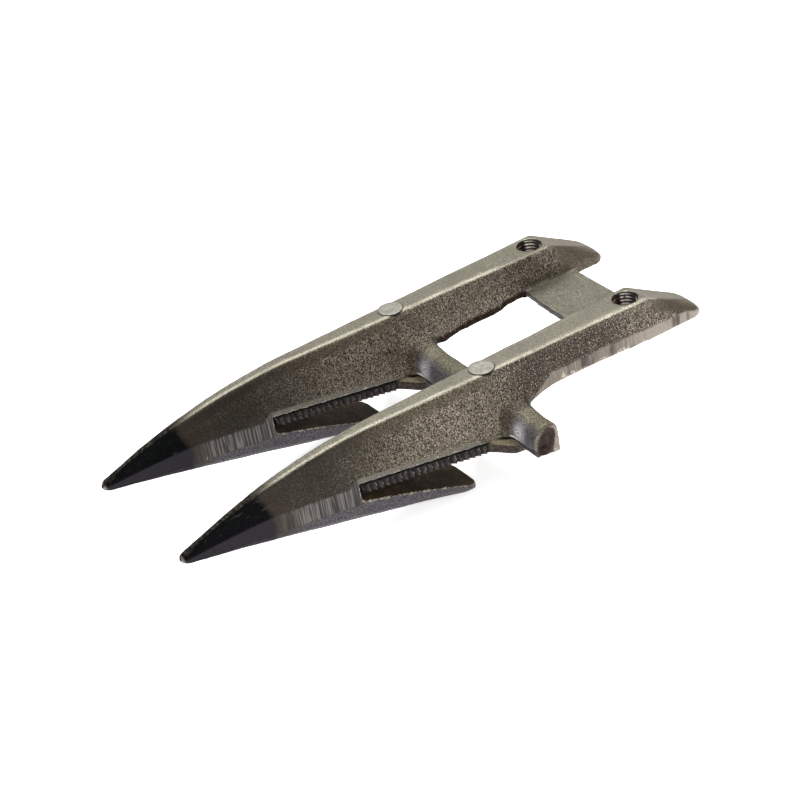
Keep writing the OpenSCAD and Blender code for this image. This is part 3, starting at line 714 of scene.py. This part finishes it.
class Shader:
    """A node material with one Principled surface and short helpers to wire it."""

    def __init__(self, name):
        self.material = bpy.data.materials.new(name)
        self.material.use_nodes = True
        self.tree = self.material.node_tree
        self.tree.nodes.clear()
        out = self.tree.nodes.new("ShaderNodeOutputMaterial")
        self.surface = self.tree.nodes.new("ShaderNodeBsdfPrincipled")
        self.tree.links.new(self.surface.outputs[0], out.inputs[0])
        coords = self.tree.nodes.new("ShaderNodeTexCoord")
        self.place = coords.outputs["Object"]
        parts = self.node("ShaderNodeSeparateXYZ", Vector=self.place)
        self.x, self.y, self.z = (self.times(part, 1 / MM) for part in parts.outputs)

    def node(self, kind, **values):
        n = self.tree.nodes.new(kind)
        for key, value in values.items():
            self.put(n.inputs[key], value)
        return n

    def put(self, socket, value):
        if isinstance(value, bpy.types.NodeSocket):
            self.tree.links.new(value, socket)
        else:
            socket.default_value = value

    def math(self, op, a, b=0.0):
        n = self.tree.nodes.new("ShaderNodeMath")
        n.operation = op
        self.put(n.inputs[0], a)
        self.put(n.inputs[1], b)
        return n.outputs[0]

    def times(self, a, *others):
        for b in others:
            a = self.math("MULTIPLY", a, b)
        return a

    def most(self, a, *others):
        for b in others:
            a = self.math("MAXIMUM", a, b)
        return a

    def plus(self, a, b):
        return self.math("ADD", a, b)

    def minus(self, a, b):
        return self.math("SUBTRACT", a, b)

    def far(self, value, centre):
        """How far a value lies from a centre."""
        return self.math("ABSOLUTE", self.minus(value, centre))

    def length(self, a, b):
        """Length of the flat vector (a, b)."""
        return self.math("SQRT", self.plus(self.times(a, a), self.times(b, b)))

    def attribute(self, name):
        n = self.tree.nodes.new("ShaderNodeAttribute")
        n.attribute_name = name
        return n.outputs["Fac"]

    def band(self, value, a, b, to0=0.0, to1=1.0):
        """Smooth step from to0 where the value is a, to to1 where it is b."""
        n = self.tree.nodes.new("ShaderNodeMapRange")
        n.interpolation_type = "SMOOTHSTEP"
        for key, v in (("Value", value), ("From Min", a), ("From Max", b), ("To Min", to0), ("To Max", to1)):
            self.put(n.inputs[key], v)
        return n.outputs[0]

    def scaled(self, sx, sy, sz):
        n = self.tree.nodes.new("ShaderNodeVectorMath")
        n.operation = "MULTIPLY"
        self.put(n.inputs[0], self.place)
        n.inputs[1].default_value = (sx, sy, sz)
        return n.outputs[0]

    def noise(self, scale, detail=2.0, rough=0.5, place=None):
        """Noise with its scale in cells per metre, or over a place that is scaled already."""
        n = self.node("ShaderNodeTexNoise", Scale=scale, Detail=detail, Roughness=rough)
        self.put(n.inputs["Vector"], place or self.place)
        return n.outputs["Fac"]

    def blend(self, factor, a, b, kind="MIX"):
        n = self.tree.nodes.new("ShaderNodeMix")
        n.data_type, n.blend_type = "RGBA", kind
        self.put(n.inputs[0], factor)
        self.put(n.inputs[6], a)
        self.put(n.inputs[7], b)
        return n.outputs[2]

    def between(self, factor, a, b):
        n = self.tree.nodes.new("ShaderNodeMix")
        self.put(n.inputs[0], factor)
        self.put(n.inputs[2], a)
        self.put(n.inputs[3], b)
        return n.outputs[0]

    def two(self, value, a, b, dark, light):
        """Colour between two, given as 0 to 255, as the value goes from a to b."""
        return self.blend(self.band(value, a, b), linear(*dark), linear(*light))

    def bump(self, height, strength, distance, normal=None):
        n = self.node("ShaderNodeBump", Height=height, Strength=strength, Distance=distance * MM)
        if normal is not None:
            self.put(n.inputs["Normal"], normal)
        return n.outputs[0]

    def finish(self, color, rough, metal, normal=None):
        for key, v in (("Base Color", color), ("Roughness", rough), ("Metallic", metal), ("Normal", normal)):
            if v is not None:
                self.put(self.surface.inputs[key], v)
        return self.material


def forged_steel():
    s = Shader("forged_steel")
    zone = {name: s.attribute(name) for name in FORGING_ZONES}
    bend, wide = s.attribute("bend"), s.attribute("bend_wide")
    grain = s.noise(1900, 1.5, 0.55)
    lumps = s.noise(800, 2.0, 0.5)
    cloud = s.noise(75, 3.0, 0.6)
    nose = s.band(s.y, -100, -175)
    away = s.far(s.math("ABSOLUTE", s.x), AXIS_X)
    ledger = s.times(s.minus(BAR_FRONT_Y, s.y), TAN_LEDGER)
    above = s.minus(s.plus(s.z, BAR_DROP), ledger)

    # Flanks: light specks and dark pits on brown scale, darker and smoother towards the nose
    speckle = s.plus(s.times(grain, 0.72), s.times(lumps, 0.28))
    dark = s.blend(nose, linear(37, 31, 26), linear(34, 30, 24))
    light = s.blend(nose, linear(145, 134, 118), linear(56, 50, 40))
    color = s.blend(s.band(speckle, 0.41, 0.61), dark, light)
    stain = s.blend(nose, linear(74, 65, 54), linear(34, 29, 23))
    color = s.blend(s.band(cloud, 0.45, 0.70, 0.0, 0.5), color, stain)
    # Painted shade: the rear flanks from the bar to the tails are painted darker, most on the right arm's outer
    # side
    shade = s.times(s.band(s.y, -88, -60), s.band(s.y, 6, -22), s.band(s.x, 36, 42, 0.1, 0.70))
    color = s.blend(shade, color, linear(40, 33, 28))
    specks = s.times(s.band(grain, 0.61, 0.73), s.between(nose, 0.85, 0.1))
    color = s.blend(specks, color, linear(200, 189, 170))
    pits = s.times(s.band(grain, 0.37, 0.28), s.between(nose, 0.8, 0.2))
    color = s.blend(pits, color, linear(22, 18, 15))
    # Fillets between flanks and ears, darkened with painted shade
    fillet = s.times(s.band(away, 12.5, 15.0), s.band(away, 21.5, 19.0))
    fillet = s.times(fillet, s.band(s.far(s.y, BAR_MID_Y), 14, 9, 0.0, 0.55))
    color = s.blend(fillet, color, linear(52, 45, 36))
    ear_scale = s.two(speckle, 0.35, 0.65, (70, 67, 53), (114, 109, 90))
    color = s.blend(s.times(zone["wing"], 0.8), color, ear_scale)
    # Tails: smoother and darker brown below the top edge, partly their finish and partly painted shade
    tail_finish_and_shade = s.two(grain, 0.3, 0.7, (70, 62, 51), (94, 85, 70))
    color = s.blend(s.times(zone["tail"], 0.85), color, tail_finish_and_shade)

    # Shoulders below the crest, with finer scale
    smooth_dark = s.blend(nose, linear(58, 51, 40), linear(30, 26, 20))
    smooth_light = s.blend(nose, linear(98, 89, 72), linear(50, 44, 34))
    smooth_band = s.blend(s.band(speckle, 0.3, 0.7), smooth_dark, smooth_light)
    color = s.blend(s.times(zone["shoulder"], 0.7), color, smooth_band)

    # Tops: smooth greenish grey with a bright edge that is partly wear and partly a painted highlight
    tops = s.two(speckle, 0.36, 0.64, (84, 81, 69), (133, 129, 114))
    tops = s.blend(s.band(cloud, 0.45, 0.7, 0.0, 0.4), tops, linear(92, 87, 74))
    back = s.times(s.band(s.y, 4, 14, 0.0, 0.85), s.band(away, 10.5, 9.5))
    tops = s.blend(back, tops, linear(104, 93, 74))
    color = s.blend(zone["crest"], color, tops)
    # Painted highlight mixed with wear along the crest's rim
    rim_wear_and_glint = s.times(zone["rim"], s.band(s.noise(1500, 2.0, 0.6), 0.36, 0.60))
    rim_wear_and_glint = s.times(rim_wear_and_glint, s.band(s.noise(90, 2.0, 0.5), 0.30, 0.60, 0.35, 0.9))
    color = s.blend(rim_wear_and_glint, color, linear(198, 191, 173))

    # Undersides and the sides of the lip: fine violet-grey scale
    color = s.blend(zone["under"], color, s.two(grain, 0.36, 0.64, (40, 37, 40), (92, 87, 92)))

    # Trimmed strips: lined on the nose, plainer above the plates, pale and smeared along the seat
    lines = s.noise(1.0, 2.0, 0.6, s.scaled(1250, 1250, 40))
    smears = s.noise(1.0, 2.0, 0.6, s.scaled(120, 120, 30))
    lined = s.two(lines, 0.36, 0.66, (44, 41, 41), (104, 99, 95))
    lined = s.blend(s.band(smears, 0.55, 0.7, 0.0, 0.6), lined, linear(44, 42, 43))
    plain = s.two(grain, 0.3, 0.7, (78, 74, 67), (112, 107, 97))
    seat = s.two(lines, 0.3, 0.7, (98, 90, 82), (132, 123, 113))
    seat = s.blend(s.band(s.y, -16, 6, 0.0, 0.8), seat, linear(146, 137, 127))
    seat = s.blend(s.band(smears, 0.55, 0.66, 0.0, 0.85), seat, linear(58, 53, 52))
    seat = s.blend(s.band(speckle, 0.56, 0.66, 0.0, 0.5), seat, linear(74, 67, 60))
    trimmed = s.blend(s.band(s.y, -158, -156), lined, plain)
    trimmed = s.blend(s.band(s.y, -75, -60), trimmed, seat)
    color = s.blend(zone["strip"], color, trimmed)
    color = s.blend(zone["web_edge"], color, linear(80, 76, 80))

    # Slot and lip: dark brown, in the slot partly its colour and partly painted shade
    color = s.blend(zone["slot"], color, s.two(cloud, 0.3, 0.7, (46, 36, 24), (74, 59, 41)))

    # Ears: violet-grey front with a worn patch, a sunk band painted lighter in the fillet and darker on the ear's
    # front as painted light and shade, a thin black line of dirt and painted shade along the crease, and a scooped
    # end
    color = s.blend(zone["brow"], color, s.two(lines, 0.3, 0.7, (74, 71, 73), (116, 112, 114)))
    polish = s.times(zone["patch"], s.band(grain, 0.32, 0.58))
    color = s.blend(polish, color, linear(236, 234, 240))
    # Painted light and shade on the sunk band: a lit olive copy in the fillet and a shaded violet copy on the ear's
    # front
    olive = s.two(lines, 0.3, 0.7, (112, 104, 84), (146, 136, 112))
    violet = s.two(lines, 0.3, 0.7, (40, 36, 38), (66, 60, 62))
    color = s.blend(zone["sunk"], color, s.blend(s.band(away, 21, 26), olive, violet))
    rise = s.times(s.band(away, 11, 20), CREASE_H)
    turn = s.times(s.band(away, 30, 37), CREASE_END)
    off = s.minus(s.minus(above, rise), turn)
    brink = s.times(zone["front"], s.band(s.far(off, 1.5), 0.8, 0.3), s.band(s.far(away, 21.5), 4.0, 1.0))
    color = s.blend(brink, color, linear(236, 232, 226))
    color = s.blend(zone["facet"], color, s.two(lumps, 0.35, 0.65, (122, 113, 104), (158, 148, 138)))
    color = s.blend(zone["scoop"], color, s.two(lines, 0.35, 0.65, (34, 26, 23), (66, 50, 42)))

    # Worn edges, torn edge, darker creases, and the crease line of dirt and painted shade
    worn = s.times(s.band(bend, 0.10, 0.24), s.band(s.noise(900, 2.0, 0.6), 0.36, 0.60))
    unworn = s.most(zone["torn"], zone["shoulder"], zone["web_edge"])
    worn = s.times(worn, s.minus(1.0, unworn), s.band(away, 33, 35, 1.0, 0.06))
    color = s.blend(s.times(worn, 0.85), color, linear(190, 184, 168))
    color = s.blend(zone["torn"], color, s.two(lumps, 0.35, 0.65, (26, 19, 15), (56, 43, 34)))
    color = s.blend(s.band(wide, -0.16, -0.5, 0.0, 0.7), color, linear(30, 26, 22))
    # Black line along the ear's crease: dirt and painted shade under the overhang
    crease = s.times(zone["front"], s.band(s.math("ABSOLUTE", off), 1.0, 0.6))
    color = s.blend(crease, color, linear(8, 7, 6))

    # Dark ring round each rivet head: a dark joint, with painted shade making it darker on the +x side
    gap = s.length(away, s.minus(s.y, RIVET_Y))
    across = s.minus(s.x, s.times(s.math("SIGN", s.x), AXIS_X))
    rivet_joint_and_shade = s.times(s.band(gap, 6.7, 6.3), s.band(s.z, 16, 18), s.band(across, -2.5, 1.0, 0.1, 1.0))
    color = s.blend(s.times(rivet_joint_and_shade, 0.9), color, linear(40, 36, 30))

    # Heat-blackened tips with a straw band behind, the border leaning back down the flank
    reach = s.minus(s.y, TIP_Y)
    uneven = s.times(s.minus(s.noise(110, 3.0, 0.6), 0.5), 6.0)
    lean = s.times(s.most(s.z, 1.0), 0.40)
    heat = s.plus(s.plus(reach, uneven), lean)
    black = s.band(heat, 47.5, 43.0)
    color = s.blend(s.band(heat, 60, 45, 0.0, 0.8), color, linear(44, 35, 25))
    soot = s.two(grain, 0.45, 0.8, (6, 7, 8), (24, 25, 26))
    scratch = s.noise(1.0, 3.0, 0.6, s.scaled(900, 130, 420))
    soot = s.blend(s.band(scratch, 0.62, 0.72, 0.0, 0.6), soot, linear(60, 58, 54))
    soot = s.blend(s.most(zone["under"], zone["strip"]), soot, linear(44, 41, 45))
    ridge = s.times(zone["crest"], s.band(s.noise(520, 3.0, 0.6), 0.42, 0.62, 0.15, 1.0))
    soot = s.blend(ridge, soot, linear(66, 60, 53))
    color = s.blend(black, color, soot)
    bare = s.times(s.band(reach, 1.9, 0.5), s.band(s.noise(420, 2.0, 0.6), 0.36, 0.52))
    bare = s.most(bare, s.times(worn, black, 0.4))
    color = s.blend(bare, color, linear(150, 143, 133))

    rough = s.between(zone["crest"], s.band(grain, 0.3, 0.7, 0.60, 0.42), 0.46)
    rough = s.between(zone["strip"], rough, 0.44)
    rough = s.between(worn, s.between(rim_wear_and_glint, rough, 0.52), 0.34)
    rough = s.between(black, rough, 0.36)
    slot_and_torn = s.most(zone["slot"], zone["torn"])
    metal = s.between(slot_and_torn, 0.55, 0.1)
    metal = s.between(black, metal, s.times(bare, 0.7))
    s.put(s.surface.inputs["Specular IOR Level"], s.between(s.most(black, slot_and_torn), 0.3, 0.02))

    smoothness = s.most(s.times(zone["crest"], 0.7), s.times(zone["strip"], 0.85))
    smoothness = s.most(smoothness, s.times(zone["tail"], 0.8), s.times(nose, 0.7))
    depth = s.minus(1.0, smoothness)
    normal = s.bump(s.times(speckle, depth), 0.7, 0.5)
    normal = s.bump(s.times(lines, zone["strip"]), 0.5, 0.3, normal)
    return s.finish(color, rough, metal, normal)


def ledger_steel():
    s = Shader("ledger_steel")
    grain = s.noise(900, 3.0, 0.6)
    color = s.two(grain, 0.35, 0.7, (28, 22, 19), (78, 65, 58))
    # Painted shade: the deep part of each tooth groove is painted near black
    groove_shade = s.band(s.attribute("tooth"), 0.35, 0.80)
    color = s.blend(groove_shade, color, linear(4, 3, 3))
    shelf = s.attribute("shelf")
    color = s.blend(shelf, color, s.two(grain, 0.35, 0.7, (132, 122, 98), (170, 157, 130)))
    # Painted glints: the sharp edges of the teeth are painted pale
    painted_tooth_glint = s.times(s.band(s.attribute("edge"), 0.05, 0.16), s.band(s.noise(420, 2.0, 0.6), 0.42, 0.58))
    color = s.blend(s.times(painted_tooth_glint, 0.85), color, linear(168, 161, 152))
    rough = s.between(painted_tooth_glint, 0.5, 0.3)
    return s.finish(color, rough, 0.6, s.bump(grain, 0.4, 0.3))


def rivet_steel():
    s = Shader("rivet_steel")
    grain = s.noise(600, 3.0, 0.6)
    color = s.two(grain, 0.35, 0.68, (124, 122, 112), (150, 147, 137))
    color = s.blend(s.band(s.noise(160, 2.0, 0.5), 0.55, 0.75, 0.0, 0.4), color, linear(108, 104, 93))
    return s.finish(color, 0.45, 0.55, s.bump(grain, 0.3, 0.4))


def thread_steel():
    s = Shader("thread_steel")
    grain = s.noise(500, 2.0, 0.6)
    radius = s.length(s.minus(s.math("ABSOLUTE", s.x), AXIS_X), s.y)
    # Crests of the thread: coppery on one side, and on the other a bright bar that is a painted reflection
    crest = s.blend(s.band(s.y, -0.5, -3.5), linear(46, 34, 26), linear(176, 124, 86))
    crest = s.blend(s.band(s.far(s.y, 3.0), 2.6, 0.8), crest, linear(240, 232, 220))
    # Painted shade: the roots between the crests are painted near black inside the hole
    ridge = s.times(s.band(radius, 5.8, 5.3), s.band(grain, 0.25, 0.5))
    color = s.blend(ridge, linear(7, 6, 5), crest)
    return s.finish(color, 0.35, 0.5, s.bump(grain, 0.2, 0.2))


forging = build_forging()
steel = forged_steel()
forging.data.materials.append(steel)

plates, rivets, threads = [], [], []
plate_look, rivet_look, thread_look = ledger_steel(), rivet_steel(), thread_steel()
for side, word in ((-1, "left"), (1, "right")):
    p = ledger_plate(f"ledger_{word}", side)
    co, no = read_mesh(p.data)
    base = finger_x(np.minimum(co[:, 1], BAR_FRONT_Y)) + TOOTH_OUT
    add_attribute(p, "tooth", (base - np.abs(np.abs(co[:, 0]) - AXIS_X)) / TOOTH_DEPTH)
    add_attribute(p, "edge", curvature(p.data, co, no, 3))
    shelf = smooth(co[:, 1], BAR_FRONT_Y - 10, BAR_FRONT_Y - 6) * smooth(co[:, 2] - ledger_z(co[:, 1]), -1.3, -0.9)
    add_attribute(p, "shelf", shelf)
    p.data.materials.append(plate_look)
    plates.append(p)
    r = rivet(f"rivet_{word}", side)
    r.data.materials.append(rivet_look)
    rivets.append(r)
    t = thread(f"thread_{word}", side)
    t.data.materials.append(thread_look)
    threads.append(t)

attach(forging, "root")
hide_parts("guard_body")
for p, node in zip(plates, ("left_ledger_plate", "right_ledger_plate")):
    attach(p, "root")
    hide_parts(node)
for r in rivets:
    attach(r, "root")
    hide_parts("ledger_rivets")
for t in threads:
    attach(t, "root")

# Floor and light
FLOOR_SIZE, FLOOR_GAP, FLOOR_GLOW, ROOM_LIGHT = 60, 0.0003, 0.64, 0.55
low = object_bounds()[0][2]
bpy.ops.mesh.primitive_plane_add(size=FLOOR_SIZE, location=(0, 0, low - FLOOR_GAP))
floor = bpy.context.object
floor.name = "floor"
pale = Shader("pale_floor")
pale.finish((0.93, 0.93, 0.93, 1), 0.9, 0.0)
pale.surface.inputs["Emission Color"].default_value = (1, 1, 1, 1)
pale.surface.inputs["Emission Strength"].default_value = FLOOR_GLOW
floor.data.materials.append(pale.material)

scene = bpy.context.scene
scene.view_settings.view_transform = "Standard"
world = bpy.data.worlds.new("studio")
scene.world = world
world.use_nodes = True
world.node_tree.nodes["Background"].inputs[0].default_value = (1, 1, 1, 1)
world.node_tree.nodes["Background"].inputs[1].default_value = ROOM_LIGHT


def softbox(name, place, aim, size, power):
    data = bpy.data.lights.new(name, "AREA")
    data.shape, data.size, data.energy = "SQUARE", size, power
    ob = bpy.data.objects.new(name, data)
    scene.collection.objects.link(ob)
    ob.location = place
    d = np.array(aim) - np.array(place)
    ob.rotation_mode = "QUATERNION"
    ob.rotation_quaternion = Vector(d).to_track_quat("-Z", "Y")


softbox("key", (-0.35, 0.25, 1.1), (0, -0.1, 0), 0.9, 16)
softbox("fill", (1.25, -0.2, 0.55), (0, -0.1, 0), 1.0, 6)

# The camera as fitted to the photo: its lens, axes and place
data = bpy.data.cameras.new("camera")
data.sensor_width, data.lens = 36.0, 96.47
data.clip_start, data.clip_end = 0.05, 20
camera = bpy.data.objects.new("camera", data)
scene.collection.objects.link(camera)
right = (0.53722, 0.82877, -0.15660)
up = (-0.37592, 0.40149, 0.83516)
ahead = (-0.75503, 0.38980, -0.52725)
at = (0.74775, -0.49102, 0.51900)
camera.matrix_world = Matrix([[right[i], up[i], -ahead[i], at[i]] for i in range(3)] + [[0, 0, 0, 1]])
scene.camera = camera
